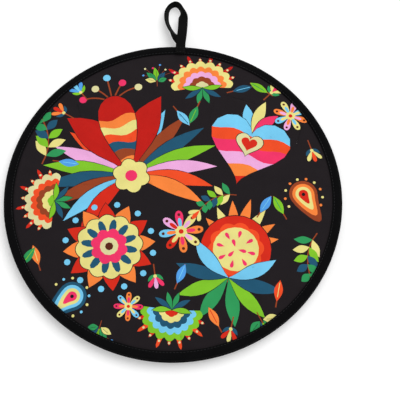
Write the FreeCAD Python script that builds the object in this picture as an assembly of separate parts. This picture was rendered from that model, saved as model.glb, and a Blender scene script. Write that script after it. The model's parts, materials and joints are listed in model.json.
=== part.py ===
"""Round insulated cloth pouch that keeps a stack of tortillas warm.

Two padded discs lie one on the other. Each is a sandwich of printed cover, wadding and dotted lining.
Round the back the two discs are sewn together inside one folded binding. Round the front each disc has
a binding of its own, and the gap between the two lips is the mouth. The front of the upper disc lifts
as a flap, which folds along a straight line between the two ends of the mouth. A loop of folded tape is
sewn on at the back.

Millimetres. The origin is the middle of the underside, +Z is up, the mouth faces -Y, the loop points +Y.
"""

import FreeCAD
import Part

import math
import os

from FreeCAD import Vector

# Outline of the pouch
POUCH_DIAMETER = 305.0
MOUTH_ANGLE = 164.0          # how far round the front the mouth runs, in degrees
FOLD_SETBACK = 25.0          # from the ends of the mouth forward to the line on which the flap folds
FOLD_GAP = 0.3               # between the flap and the fixed half of the upper disc
HINGE_RISE = 0.1             # the flap's hinge line stands this much above the cover

# Cloth, wadding and bindings
COVER_CLOTH = 0.5
LINING_CLOTH = 0.5
WADDING = 3.8                # at the middle of each disc
WADDING_AT_LIP = 0.7         # under the binding of each lip
PLY_GAP = 0.1                # between one layer and the next
BINDING_CLOTH = 0.9          # folded bias tape
BINDING_WIDTH = 9.0
BINDING_EASE = 0.1           # between a binding and the layers inside it
BINDING_HEM = 0.5            # the layers are pressed flat from this far inside a binding's inner edge
EDGE_TRIM = 3.5              # the layers are cut back this far from the outer edge
LIP_GAP = 0.3                # between the two lips of the closed mouth

# Shape of the closed pouch
RIM_LIFT = 5.0               # the underside of the rim above the table
CROWN_RISE = 8.0             # the pocket's ceiling rises this much from the seam to the middle
SEAM_SLOPE = 6.0             # from the binding in to where the pocket's floor and ceiling begin to part
SHOULDER_WIDTH = 15.0        # from there in to where the top starts to roll down to the binding
FLOOR_SLOPE = 49.0           # from there in to the flat of the pocket's floor
FOOT_SLOPE = 48.0            # from the binding in to the flat of the underside

# Sewing thread, half sunk in the bindings
THREAD_RADIUS = 0.15
THREAD_SUNK = 0.05           # the thread's middle below the face
GROOVE_RADIUS = 0.18
STITCH_INSET = 1.6           # from a binding's inner edge to its line of stitches
TAIL_ROW_SPACING = 4.5       # between the two rows of stitches across the loop's tails

# Hanging loop of folded tape
TAPE_WIDTH = 9.0
TAPE_THICKNESS = 1.2
TAPE_GAP = 0.05              # between the two tails, and under the lower one
LOOP_ROOT_GAP = 0.3          # between the tails and the round root of the loop
LOOP_ROOT_ROUND = 0.1        # the round root stands this much proud of the tape
LOOP_ROOT_INSET = 0.3        # and stops this far inside the tape's edges
LOOP_RIM_GAP = 0.2           # between the rim and the loop where it hangs straight down
LOOP_TABLE_GAP = 0.35        # between the table and the loop's lowest edge
LOOP_SECTIONS = 44
# The tape's middle line from the root, out to the right, round the far end and back on the left:
# millimetres across, millimetres out from the hinge, and share of the way down from there.
LOOP_ROUTE = [
    (0.9, 8.0, 0.12),
    (2.0, 18.0, 0.36),
    (2.4, 28.0, 0.66),
    (1.3, 36.8, 0.89),
    (-1.9, 43.2, 0.975),
    (-6.4, 45.9, 1.0),
    (-11.0, 42.8, 0.995),
    (-14.0, 36.6, 0.93),
    (-15.0, 29.4, 0.80),
    (-13.7, 22.4, 0.57),
    (-10.6, 15.8, 0.28),
    (-6.6, 10.0, -0.01),
    (-2.6, 5.0, -0.14),
]
# How the tape turns over once on its way round: share of its length, and the turn in degrees.
# It lies flat on the right, stands on its edge round the far end, and lies flat again at the root.
LOOP_TURNS = [
    (0.0, 0.0),
    (0.26, 0.0),
    (0.45, 80.0),
    (0.6, 112.0),
    (0.82, 112.0),
    (0.95, 180.0),
    (1.0, 180.0),
]

# Sizes that follow from the ones above
RADIUS = POUCH_DIAMETER / 2
CLOTH_AND_GAPS = COVER_CLOTH + LINING_CLOTH + 2 * PLY_GAP
LIP_RECESS = LIP_GAP / 2 + BINDING_CLOTH + BINDING_EASE - PLY_GAP / 2
PANEL_THICKNESS = WADDING + CLOTH_AND_GAPS
PANEL_AT_SEAM = WADDING_AT_LIP + CLOTH_AND_GAPS + LIP_RECESS
RIM_HALF_HEIGHT = PLY_GAP / 2 + PANEL_AT_SEAM + BINDING_EASE + BINDING_CLOTH
SEAM_HEIGHT = RIM_LIFT + RIM_HALF_HEIGHT
RIM_TOP = SEAM_HEIGHT + RIM_HALF_HEIGHT
LOWER_SEAM = SEAM_HEIGHT - PLY_GAP / 2
UPPER_SEAM = SEAM_HEIGHT + PLY_GAP / 2
CEILING_HEIGHT = UPPER_SEAM + CROWN_RISE
TRIM_RADIUS = RADIUS - EDGE_TRIM
BINDING_INNER_RADIUS = RADIUS - BINDING_WIDTH
STITCH_RADIUS = BINDING_INNER_RADIUS + STITCH_INSET
TUCK_RADIUS = BINDING_INNER_RADIUS - BINDING_HEM
FLAT_FOOT_RADIUS = TUCK_RADIUS - FOOT_SLOPE
CROWN_RADIUS = TUCK_RADIUS - SEAM_SLOPE
SHOULDER_RADIUS = CROWN_RADIUS - SHOULDER_WIDTH
FLAT_FLOOR_RADIUS = CROWN_RADIUS - FLOOR_SLOPE
CROWN_FALL_RATE = CROWN_RISE / CROWN_RADIUS**2
MOUTH_END_ANGLE = (180.0 - MOUTH_ANGLE) / 2
FOLD_Y = -RADIUS * math.sin(math.radians(MOUTH_END_ANGLE)) - FOLD_SETBACK
LOWER_TAIL_Z = RIM_TOP + TAPE_GAP
UPPER_TAIL_Z = LOWER_TAIL_Z + TAPE_THICKNESS + TAPE_GAP
TAPE_PAIR = 2 * TAPE_THICKNESS + TAPE_GAP
LOOP_ROOT_RADIUS = TAPE_PAIR / 2 + LOOP_ROOT_ROUND
LOOP_HINGE_Y = RADIUS + TAPE_PAIR / 2 + LOOP_RIM_GAP
LOOP_HINGE_Z = LOWER_TAIL_Z + TAPE_PAIR / 2
LOOP_DROP = LOOP_HINGE_Z - TAPE_WIDTH / 2 - LOOP_TABLE_GAP
SPLIT_BOX = 4 * RADIUS

# The mouth and the closed seam as arcs round Z: where each starts and how far it runs, in degrees
MOUTH_ARC = (180.0 + MOUTH_END_ANGLE, MOUTH_ANGLE)
SEAM_ARC = (-MOUTH_END_ANGLE, 360.0 - MOUTH_ANGLE)


def crown_height(radius):
    """Height of the pocket's ceiling at a radius."""
    return CEILING_HEIGHT - CROWN_FALL_RATE * radius**2


def eased_arc(start, end, start_slope=0.0):
    """A shallow arc in (radius, height) that leaves its start at the given slope, as three points."""
    run = end[0] - start[0]
    rise = end[1] - start[1]
    middle_height = start[1] + start_slope * run / 2 + (rise - start_slope * run) / 4
    return [start, ((start[0] + end[0]) / 2, middle_height), end]


def to_trim(height):
    """The flat stretch that a binding presses, out to the trimmed edge."""
    return [(TUCK_RADIUS, height), (TRIM_RADIUS, height)]


def lower_outside():
    """Underside of the lower disc: a flat foot, then a rise to the binding."""
    pressed = LOWER_SEAM - PANEL_AT_SEAM
    return [
        [(0.0, 0.0), (FLAT_FOOT_RADIUS, 0.0)],
        eased_arc((FLAT_FOOT_RADIUS, 0.0), (TUCK_RADIUS, pressed)),
        to_trim(pressed),
    ]


def lower_inside(recess):
    """Floor of the pocket. The lining steps down by the recess to make room for the lip's binding."""
    return [
        [(0.0, PANEL_THICKNESS), (FLAT_FLOOR_RADIUS, PANEL_THICKNESS)],
        eased_arc((FLAT_FLOOR_RADIUS, PANEL_THICKNESS), (CROWN_RADIUS, LOWER_SEAM)),
        [(CROWN_RADIUS, LOWER_SEAM), (TUCK_RADIUS, LOWER_SEAM - recess)],
        to_trim(LOWER_SEAM - recess),
    ]


def upper_inside(recess):
    """Ceiling of the pocket, with the same step at the lip."""
    return [
        eased_arc((0.0, CEILING_HEIGHT), (CROWN_RADIUS, UPPER_SEAM)),
        [(CROWN_RADIUS, UPPER_SEAM), (TUCK_RADIUS, UPPER_SEAM + recess)],
        to_trim(UPPER_SEAM + recess),
    ]


def upper_outside():
    """Top of the upper disc: a crown that follows the ceiling, then a shoulder down to the binding."""
    shoulder = (SHOULDER_RADIUS, crown_height(SHOULDER_RADIUS) + PANEL_THICKNESS)
    shoulder_slope = -2 * CROWN_FALL_RATE * SHOULDER_RADIUS
    pressed = UPPER_SEAM + PANEL_AT_SEAM
    return [
        eased_arc((0.0, CEILING_HEIGHT + PANEL_THICKNESS), shoulder),
        eased_arc(shoulder, (TUCK_RADIUS, pressed), shoulder_slope),
        to_trim(pressed),
    ]


def outline_edge(points, shift=0.0):
    """A line through two points, or an arc through three, in the XZ plane."""
    corners = [Vector(radius, 0.0, height + shift) for radius, height in points]
    if len(corners) == 2:
        return Part.LineSegment(*corners).toShape()
    return Part.Arc(*corners).toShape()


def turned(edges, arc):
    """Turns a closed outline in the XZ plane round Z, over an arc given as (start, sweep)."""
    start, sweep = arc
    face = Part.Face(Part.Wire(Part.__sortEdges__(edges)))
    solid = face.revolve(Vector(0, 0, 0), Vector(0, 0, 1), sweep)
    solid.rotate(Vector(0, 0, 0), Vector(0, 0, 1), start)
    return solid


def ply(bottom, bottom_shift, top, top_shift, arc):
    """One layer of cloth or wadding between two of the surfaces above."""
    edges = [outline_edge(stretch, bottom_shift) for stretch in bottom]
    edges += [outline_edge(stretch, top_shift) for stretch in top]
    for end in (0, -1):
        low_radius, low_height = bottom[end][end]
        high_radius, high_height = top[end][end]
        low = (low_radius, low_height + bottom_shift)
        high = (high_radius, high_height + top_shift)
        edges.append(outline_edge([low, high]))
    return turned(edges, arc)


def whole_disc(make_sector):
    """Joins a layer's mouth sector, pressed thinner at the lip, to its sector at the closed seam."""
    at_mouth = make_sector(MOUTH_ARC, LIP_RECESS)
    at_seam = make_sector(SEAM_ARC, 0.0)
    return at_mouth.fuse(at_seam).removeSplitter()


def lower_cover():
    outside = lower_outside()
    return ply(outside, 0.0, outside, COVER_CLOTH, (0.0, 360.0))


def lower_wadding_sector(arc, recess):
    inside = lower_inside(recess)
    return ply(lower_outside(), COVER_CLOTH + PLY_GAP, inside, -LINING_CLOTH - PLY_GAP, arc)


def lower_lining_sector(arc, recess):
    inside = lower_inside(recess)
    return ply(inside, -LINING_CLOTH, inside, 0.0, arc)


def upper_lining_sector(arc, recess):
    inside = upper_inside(recess)
    return ply(inside, 0.0, inside, LINING_CLOTH, arc)


def upper_wadding_sector(arc, recess):
    inside = upper_inside(recess)
    return ply(inside, LINING_CLOTH + PLY_GAP, upper_outside(), -COVER_CLOTH - PLY_GAP, arc)


def upper_cover():
    outside = upper_outside()
    return ply(outside, -COVER_CLOTH, outside, 0.0, (0.0, 360.0))


def behind_fold(shape):
    """The part of a shape that stays with the pouch."""
    low_corner = Vector(-SPLIT_BOX / 2, FOLD_Y + FOLD_GAP / 2, -SPLIT_BOX / 2)
    return shape.common(Part.makeBox(SPLIT_BOX, SPLIT_BOX, SPLIT_BOX, low_corner))


def before_fold(shape):
    """The part of a shape that lifts with the flap."""
    low_corner = Vector(-SPLIT_BOX / 2, FOLD_Y - FOLD_GAP / 2 - SPLIT_BOX, -SPLIT_BOX / 2)
    return shape.common(Part.makeBox(SPLIT_BOX, SPLIT_BOX, SPLIT_BOX, low_corner))


def stitch_dent(height, inward):
    """The dent that stitches make in a binding's face at a height, as an arc; inward is 1 up or -1 down."""
    half_width = math.sqrt(GROOVE_RADIUS**2 - THREAD_SUNK**2)
    bottom = height + inward * (THREAD_SUNK + GROOVE_RADIUS)
    return [(STITCH_RADIUS - half_width, height), (STITCH_RADIUS, bottom), (STITCH_RADIUS + half_width, height)]


def binding(bottom, top, arc):
    """Bias tape folded over an edge: a round fold and two flat legs, each dented by its stitches."""
    outer_radius = (top - bottom) / 2
    inner_radius = outer_radius - BINDING_CLOTH
    fold_centre = RADIUS - outer_radius
    middle = (top + bottom) / 2
    edges = []
    for radius in (outer_radius, inner_radius):
        fold = [(fold_centre, middle - radius), (fold_centre + radius, middle), (fold_centre, middle + radius)]
        edges.append(outline_edge(fold))
    for side in (-1, 1):
        outer_hem = (BINDING_INNER_RADIUS, middle + side * outer_radius)
        inner_hem = (BINDING_INNER_RADIUS, middle + side * inner_radius)
        dent = stitch_dent(outer_hem[1], -side)
        edges.append(outline_edge([outer_hem, dent[0]]))
        edges.append(outline_edge(dent))
        edges.append(outline_edge([dent[-1], (fold_centre, outer_hem[1])]))
        edges.append(outline_edge([inner_hem, (fold_centre, inner_hem[1])]))
        edges.append(outline_edge([outer_hem, inner_hem]))
    return turned(edges, arc)


def stitching(bottom, top, arcs):
    """The lines of thread that hold a binding: one on each face, over each of the arcs."""
    threads = []
    for height in (bottom + THREAD_SUNK, top - THREAD_SUNK):
        for arc in arcs:
            circle = Part.Circle(Vector(STITCH_RADIUS, 0, height), Vector(0, 1, 0), THREAD_RADIUS)
            threads.append(turned([circle.toShape()], arc))
    return Part.makeCompound(threads)


def fold_angle(radius, setback):
    """The angle in front of the X axis at which a circle round Z lies this far before the fold."""
    return math.degrees(math.asin((setback - FOLD_Y) / radius))


def arcs_behind(angle):
    """The two short arcs of the mouth, left and right, from its ends to this angle before the X axis."""
    sweep = angle - MOUTH_END_ANGLE
    return [(180.0 + MOUTH_END_ANGLE, sweep), (-angle, sweep)]


def arc_before(angle):
    """The long front arc of the mouth, from this angle before the X axis on each side."""
    return (180.0 + angle, 180.0 - 2 * angle)


def loop_turn(share):
    """How far the tape has turned, in radians, at a share of the loop's length."""
    for (start, start_turn), (end, end_turn) in zip(LOOP_TURNS, LOOP_TURNS[1:]):
        if share <= end:
            part = (share - start) / (end - start)
            eased = part**2 * (3 - 2 * part)
            return math.radians(start_turn + (end_turn - start_turn) * eased)
    return math.radians(LOOP_TURNS[-1][1])


def loop_line():
    """The middle line of the loop's tape, which leaves the root and comes back to it square."""
    half_step = (TAPE_THICKNESS + TAPE_GAP) / 2
    route = [Vector(0, LOOP_HINGE_Y, LOOP_HINGE_Z - half_step)]
    for across, out, down in LOOP_ROUTE:
        route.append(Vector(across, LOOP_HINGE_Y + out, LOOP_HINGE_Z - down * LOOP_DROP))
    route.append(Vector(0, LOOP_HINGE_Y, LOOP_HINGE_Z + half_step))
    lengths = [0.0]
    for point, following in zip(route, route[1:]):
        lengths.append(lengths[-1] + (following - point).Length)
    line = Part.BSplineCurve()
    line.interpolate(
        Points=route,
        Parameters=lengths,
        InitialTangent=Vector(0, 1, 0),
        FinalTangent=Vector(0, -1, 0),
        Scale=False,
    )
    return line.toShape()


def loop_section(path, share):
    """The tape's outline across its middle line, at a share of the loop's length."""
    parameter = path.getParameterByLength(path.Length * share)
    point = path.valueAt(parameter)
    tangent = path.tangentAt(parameter)
    outward = tangent.cross(Vector(0, 0, 1)).normalize()
    upward = outward.cross(tangent)
    turn = loop_turn(share)
    across = outward * math.cos(turn) + upward * math.sin(turn)
    through = tangent.cross(across).normalize() * (TAPE_THICKNESS / 2)
    across = across * (TAPE_WIDTH / 2)
    corners = [
        point + across + through,
        point - across + through,
        point - across - through,
        point + across - through,
    ]
    return Part.makePolygon(corners + corners[:1])


def hanging_loop():
    """One tape: a round root on the hinge line, out flat, round the far end on its edge, and back."""
    path = loop_line()
    sections = [loop_section(path, n / LOOP_SECTIONS) for n in range(LOOP_SECTIONS + 1)]
    root = Part.makeCylinder(
        LOOP_ROOT_RADIUS,
        TAPE_WIDTH - 2 * LOOP_ROOT_INSET,
        Vector(-TAPE_WIDTH / 2 + LOOP_ROOT_INSET, LOOP_HINGE_Y, LOOP_HINGE_Z),
        Vector(1, 0, 0),
    )
    return Part.makeLoft(sections, True, True).fuse(root)


def hanging_loop_tails():
    """The tape's two ends, one on the other, sewn down on top of the rim binding."""
    length = LOOP_HINGE_Y - LOOP_ROOT_RADIUS - LOOP_ROOT_GAP - BINDING_INNER_RADIUS
    tails = []
    for height in (LOWER_TAIL_Z, UPPER_TAIL_Z):
        corner = Vector(-TAPE_WIDTH / 2, BINDING_INNER_RADIUS, height)
        tails.append(Part.makeBox(TAPE_WIDTH, length, TAPE_THICKNESS, corner))
    for groove in tail_threads(GROOVE_RADIUS):
        tails[-1] = tails[-1].cut(groove)
    return Part.makeCompound(tails)


def tail_threads(radius=THREAD_RADIUS):
    """Two rows of stitches across the top of the tails, or the grooves that they have sunk into."""
    height = UPPER_TAIL_Z + TAPE_THICKNESS - THREAD_SUNK
    threads = []
    for y in (STITCH_RADIUS, STITCH_RADIUS + TAIL_ROW_SPACING):
        start = Vector(-TAPE_WIDTH / 2, y, height)
        threads.append(Part.makeCylinder(radius, TAPE_WIDTH, start, Vector(1, 0, 0)))
    return threads


def hanging_loop_stitching():
    return Part.makeCompound(tail_threads())


def save(name, shape):
    """Writes one piece, and prints its volume so that a lost cut shows."""
    solids = shape.Solids
    if not solids or not all(solid.isValid() for solid in solids):
        raise ValueError(name + " has no valid solid")
    shape = solids[0] if len(solids) == 1 else Part.makeCompound(solids)
    shape.exportStep("parts/" + name + ".step")
    print(f"{name}: {len(solids)} solids, {sum(s.Volume for s in solids):.1f} mm3")


def main():
    os.makedirs("parts", exist_ok=True)
    rim = (RIM_LIFT, RIM_TOP)
    lower_lip = (RIM_LIFT, SEAM_HEIGHT - LIP_GAP / 2)
    upper_lip = (SEAM_HEIGHT + LIP_GAP / 2, RIM_TOP)

    save("lower_cover", lower_cover())
    save("lower_wadding", whole_disc(lower_wadding_sector))
    save("lower_lining", whole_disc(lower_lining_sector))

    for name, layer in (
        ("upper_lining", whole_disc(upper_lining_sector)),
        ("upper_wadding", whole_disc(upper_wadding_sector)),
        ("upper_cover", upper_cover()),
    ):
        save(name + "_back", behind_fold(layer))
        save(name + "_flap", before_fold(layer))

    save("rim_binding", binding(*rim, SEAM_ARC))
    save("rim_stitching", stitching(*rim, [SEAM_ARC]))
    save("lower_mouth_binding", binding(*lower_lip, MOUTH_ARC))
    save("lower_mouth_stitching", stitching(*lower_lip, [MOUTH_ARC]))

    past_fold = fold_angle(BINDING_INNER_RADIUS, BINDING_WIDTH)
    ends = [behind_fold(binding(*upper_lip, arc)) for arc in arcs_behind(past_fold)]
    save("upper_mouth_binding_ends", Part.makeCompound(ends))
    save("upper_mouth_binding", before_fold(binding(*upper_lip, MOUTH_ARC)))
    thread_arcs = arcs_behind(fold_angle(STITCH_RADIUS, -FOLD_GAP))
    save("upper_mouth_stitching_ends", stitching(*upper_lip, thread_arcs))
    save("upper_mouth_stitching", stitching(*upper_lip, [arc_before(fold_angle(STITCH_RADIUS, FOLD_GAP))]))

    save("hanging_loop_tails", hanging_loop_tails())
    save("hanging_loop_stitching", hanging_loop_stitching())
    save("hanging_loop", hanging_loop())

    hinge_height = crown_height(abs(FOLD_Y)) + PANEL_THICKNESS + HINGE_RISE
    print(f"flap hinge line: y {FOLD_Y:.3f}, z {hinge_height:.3f}")
    print(f"loop hinge line: y {LOOP_HINGE_Y:.3f}, z {LOOP_HINGE_Z:.3f}")


main()
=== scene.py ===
import cmath
import json
import math

import bpy
import numpy as np
from mathutils import Matrix, Vector, noise
from mathutils.geometry import delaunay_2d_cdt


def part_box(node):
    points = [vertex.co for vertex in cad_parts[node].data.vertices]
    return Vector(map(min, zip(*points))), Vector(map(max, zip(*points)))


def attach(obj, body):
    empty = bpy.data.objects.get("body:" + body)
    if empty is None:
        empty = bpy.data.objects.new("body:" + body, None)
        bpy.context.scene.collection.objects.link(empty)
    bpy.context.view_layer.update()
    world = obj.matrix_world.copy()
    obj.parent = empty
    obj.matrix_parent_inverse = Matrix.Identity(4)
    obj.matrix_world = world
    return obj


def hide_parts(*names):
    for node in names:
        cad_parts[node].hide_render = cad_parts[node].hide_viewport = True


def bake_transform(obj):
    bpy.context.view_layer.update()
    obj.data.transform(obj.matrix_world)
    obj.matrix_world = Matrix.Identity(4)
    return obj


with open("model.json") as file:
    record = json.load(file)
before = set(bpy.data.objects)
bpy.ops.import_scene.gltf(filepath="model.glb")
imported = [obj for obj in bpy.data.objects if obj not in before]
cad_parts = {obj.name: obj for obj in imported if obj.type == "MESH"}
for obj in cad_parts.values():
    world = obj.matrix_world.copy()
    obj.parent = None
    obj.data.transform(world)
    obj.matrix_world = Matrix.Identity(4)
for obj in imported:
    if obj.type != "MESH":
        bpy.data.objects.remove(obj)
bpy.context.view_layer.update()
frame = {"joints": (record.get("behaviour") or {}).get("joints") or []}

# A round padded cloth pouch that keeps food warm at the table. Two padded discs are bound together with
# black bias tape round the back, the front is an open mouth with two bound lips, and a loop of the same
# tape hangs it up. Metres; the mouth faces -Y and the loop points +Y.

# Camera
# A long lens looks down on the pouch from in front of its mouth, and from a little to the right of it.
# The pouch fills the frame's width, left of the middle.
photo_width = 400
photo_height = 406
disc_middle_px = (173.1, 198.6)
metres_per_px = 0.000902
camera_elevation = math.radians(68.46)
camera_side = math.radians(2.0)
camera_roll = math.radians(-0.34)
camera_distance = 1.4
sensor_width = 36.0
disc_middle_height = 0.009

ahead = Vector((
    -math.sin(camera_side) * math.cos(camera_elevation),
    math.cos(camera_side) * math.cos(camera_elevation),
    -math.sin(camera_elevation),
))
level = ahead.cross(Vector((0, 0, 1))).normalized()
upright = level.cross(ahead)
image_right = level * math.cos(camera_roll) - upright * math.sin(camera_roll)
image_up = level * math.sin(camera_roll) + upright * math.cos(camera_roll)
right_of_disc = (photo_width / 2 - disc_middle_px[0]) * metres_per_px
above_disc = (disc_middle_px[1] - photo_height / 2) * metres_per_px
aim = Vector((0, 0, disc_middle_height)) + image_right * right_of_disc + image_up * above_disc

camera_data = bpy.data.cameras.new("camera")
camera_data.sensor_fit = "HORIZONTAL"
camera_data.sensor_width = sensor_width
camera_data.lens = sensor_width * camera_distance / (photo_width * metres_per_px)
camera = bpy.data.objects.new("camera", camera_data)
bpy.context.collection.objects.link(camera)
turn_of_camera = Matrix((image_right, image_up, -ahead)).transposed()
camera.matrix_world = Matrix.Translation(aim - ahead * camera_distance) @ turn_of_camera.to_4x4()
bpy.context.scene.camera = camera

# Lower cover
# The bottom of the pouch is one disc of printed cotton. Its middle lies flat on the table and its edge
# rises to the seam, drawn into small puckers where the binding grips it.
rim_low, rim_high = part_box("rim_binding")
rim_radius = rim_high.x
seam_height = (rim_low.z + rim_high.z) / 2
binding_width = 0.009
hem_radius = rim_radius - binding_width
layers_short = 0.0035
trim_radius = rim_radius - layers_short
binding_cloth = 0.0009
binding_ease = 0.0001
foot_radius = 0.095
cover_cloth = 0.0005
mouth_half_angle = math.radians(82)
mouth_end_ease = math.radians(3)

pillow_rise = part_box("upper_cover_back")[1].z - rim_high.z + binding_cloth + binding_ease
pillow_power = 0.72
pucker_start = 0.055
pucker_rings = 36
pucker_sides = 300
pucker_share = 0.75
pucker_limit = 0.001
pucker_frames = 20
spare_cloth = 0.012
first_unevenness = 0.00004
swell_size = 0.042
swell_depth = 0.0005
underside_curve = 2.1
underside_onset = 2.5
underside_seed = 11.0


def eased(share):
    share = np.clip(share, 0, 1)
    return share * share * (3 - 2 * share)


def mouth_share(angle):
    """1 along the mouth, 0 along the closed seam."""
    from_front = np.abs((angle + math.pi / 2 + math.pi) % (2 * math.pi) - math.pi)
    return 1 - eased((from_front - mouth_half_angle + mouth_end_ease) / (2 * mouth_end_ease))


def pillow(radius):
    """The plain form of a padded face: 1 in the middle, 0 at the binding."""
    return np.clip(1 - (radius / hem_radius) ** 2, 0, 1) ** pillow_power


def simulated_puckers():
    """Heights of a ring of cloth held along both edges, cut a little large and pushed out by padding."""
    radii = np.linspace(pucker_start, hem_radius, pucker_rings + 1)
    turns = np.arange(pucker_sides) * 2 * math.pi / pucker_sides
    draws = np.random.default_rng(7)
    uneven = first_unevenness * draws.standard_normal((pucker_rings + 1, pucker_sides))
    points = []
    faces = []
    for ring, r in enumerate(radii):
        height = float(pillow_rise * pillow(r))
        for n, a in enumerate(turns):
            points.append((r * math.cos(a), r * math.sin(a), height + uneven[ring, n]))
            if ring < pucker_rings:
                here = ring * pucker_sides + n
                beside = ring * pucker_sides + (n + 1) % pucker_sides
                faces.append((here, here + pucker_sides, beside + pucker_sides, beside))
    mesh = bpy.data.meshes.new("simulated cloth")
    mesh.from_pydata(points, [], faces)
    mesh.update()
    sheet = bpy.data.objects.new("simulated cloth", mesh)
    bpy.context.collection.objects.link(sheet)
    held = sheet.vertex_groups.new(name="held")
    held.add(list(range(pucker_sides)), 1.0, "ADD")
    held.add(list(range(pucker_rings * pucker_sides, len(points))), 1.0, "ADD")
    cloth = sheet.modifiers.new("Cloth", "CLOTH")
    cloth.settings.quality = 6
    cloth.settings.mass = 0.05
    cloth.settings.tension_stiffness = 10
    cloth.settings.compression_stiffness = 10
    cloth.settings.bending_stiffness = 0.02
    cloth.settings.use_pressure = True
    cloth.settings.uniform_pressure_force = 4
    cloth.settings.shrink_min = -spare_cloth
    cloth.settings.shrink_max = -spare_cloth
    cloth.settings.vertex_group_mass = held.name
    cloth.settings.effector_weights.gravity = 0
    cloth.collision_settings.use_collision = False
    for frame_number in range(1, pucker_frames + 1):
        bpy.context.scene.frame_set(frame_number)
    settled = sheet.evaluated_get(bpy.context.evaluated_depsgraph_get())
    places = np.zeros(3 * len(points))
    settled.data.vertices.foreach_get("co", places)
    bpy.context.scene.frame_set(1)
    bpy.data.objects.remove(sheet)
    bpy.data.meshes.remove(mesh)
    return places.reshape(pucker_rings + 1, pucker_sides, 3)[:, :, 2]


pucker_heights = simulated_puckers()
pucker_relief = pucker_share * (pucker_heights - pucker_heights.mean(axis=1, keepdims=True))
pucker_relief = np.clip(pucker_relief, -pucker_limit, pucker_limit)


def puckers(radius, angle):
    """The relief between the four nearest points of the simulated ring."""
    row = np.clip((radius - pucker_start) / (hem_radius - pucker_start), 0, 1) * pucker_rings
    column = angle / (2 * math.pi) % 1 * pucker_sides
    ring = np.minimum(row.astype(int), pucker_rings - 1)
    side = column.astype(int) % pucker_sides
    after = (side + 1) % pucker_sides
    outward = row - ring
    round_it = column - column.astype(int)
    inner_edge = pucker_relief[ring, side] * (1 - round_it) + pucker_relief[ring, after] * round_it
    outer_edge = pucker_relief[ring + 1, side] * (1 - round_it) + pucker_relief[ring + 1, after] * round_it
    return inner_edge * (1 - outward) + outer_edge * outward


def cloth_detail(radius, angle, seed):
    """How far a padded face stands out from its plain form: puckers at the binding, and a gentle swell.

    seed picks the swell and turns the puckers round, so that no two faces have the same relief.
    """
    swell = []
    for r, a in zip(radius, angle):
        middle = 1 - (r / hem_radius) ** 6
        lumps = noise.noise((r * math.cos(a) / swell_size, r * math.sin(a) / swell_size, seed + 3.5))
        swell.append(swell_depth * middle * lumps)
    return np.where(radius < hem_radius, np.array(swell) + puckers(radius, angle + seed), 0.0)


def underside(radius, angle):
    pressed = rim_low.z + binding_cloth + binding_ease
    share = np.clip((radius - foot_radius) / (hem_radius - foot_radius), 0, 1)
    relief = cloth_detail(radius, angle, underside_seed) * eased(share * underside_onset)
    return np.maximum(pressed * share**underside_curve - relief, 0)


# The print: generic folk flowers, hearts and leaves, stamped one ink after another on dark cotton.
inks = {
    "ground": (27, 22, 25),
    "red": (213, 42, 24),
    "deep_red": (190, 27, 20),
    "vermilion": (240, 78, 36),
    "orange": (248, 133, 60),
    "yellow": (232, 222, 135),
    "cream": (222, 216, 160),
    "lime": (128, 196, 42),
    "green": (47, 152, 88),
    "teal": (32, 84, 112),
    "sky": (118, 202, 240),
    "blue": (84, 160, 232),
    "pink": (240, 52, 104),
    "lilac": (238, 172, 222),
    "brown": (150, 66, 34),
    "bark": (90, 36, 20),
}
cloth_print = []


def stamp(outline, ink, at=0, turn=1, inside=None):
    """Prints an outline in one ink. inside is the number of an earlier stamp that cuts it off."""
    swept = sum((a.conjugate() * b).imag for a, b in zip(outline, outline[1:] + outline[:1]))
    if swept < 0:
        outline = outline[::-1]
    cloth_print.append(([at + point * turn for point in outline], ink, inside))
    return len(cloth_print) - 1


def cut_out(outline, ink, at=0, turn=1, gap=0.0007):
    """Prints an outline with a thin dark gap round it, as every large shape of this print has."""
    middle = sum(outline) / len(outline)
    wider = [point + (point - middle) / abs(point - middle) * gap / abs(turn) for point in outline]
    stamp(wider, "ground", at, turn)
    return stamp(outline, ink, at, turn)


def spin(size, degrees):
    return size * cmath.exp(1j * math.radians(degrees))


def shares(count):
    return [n / count for n in range(count + 1)]


def petal(length, width, bend=0.0, fullest=1.0, steps=9):
    """Pointed at both ends, along +x, and bent to the left."""
    left = []
    right = []
    for share in shares(steps):
        middle = length * complex(share, bend * share * share)
        half = width / 2 * math.sin(math.pi * share**fullest)
        side = 1j * half * cmath.exp(1j * math.atan(2 * bend * share))
        left.append(middle + side)
        right.append(middle - side)
    return left + right[-2:0:-1]


def drop(length, width, steps=18):
    """Round at its far end and narrow at the near one."""
    outline = []
    for n in range(steps):
        angle = 2 * math.pi * n / steps
        swell = math.sin(angle / 2) ** 1.4
        outline.append(complex(length * (1 - math.cos(angle)) / 2, -width / 2 * math.sin(angle) * swell))
    return outline


def dot(radius, steps=12):
    return [radius * cmath.exp(2j * math.pi * n / steps) for n in range(steps)]


def scallops(radius, lobes, depth, first=0.0, sweep=360.0, steps=6):
    """A round of rounded lobes, or a fan of them closed through the origin."""
    outline = []
    whole = sweep >= 360
    for n in range(lobes * steps + (0 if whole else 1)):
        lobe = abs(math.sin(math.pi * n / steps))
        outline.append(spin(radius * (1 + depth * lobe), first + sweep * n / (lobes * steps)))
    return outline if whole else outline + [0j]


def line(points, width):
    left = []
    right = []
    for n, point in enumerate(points):
        run = points[min(n + 1, len(points) - 1)] - points[max(n - 1, 0)]
        side = 1j * run / abs(run) * width / 2
        left.append(point + side)
        right.append(point - side)
    return left + right[::-1]


def stalk(length, bend, steps=8):
    return [length * share * cmath.exp(1j * bend * share) for share in shares(steps)]


def heart_outline(size, steps=28):
    outline = []
    for n in range(steps):
        a = 2 * math.pi * n / steps
        across = 16 * math.sin(a) ** 3
        up = 13 * math.cos(a) - 5 * math.cos(2 * a) - 2 * math.cos(3 * a) - math.cos(4 * a)
        outline.append(complex(across, up) * size / 32)
    return outline


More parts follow.
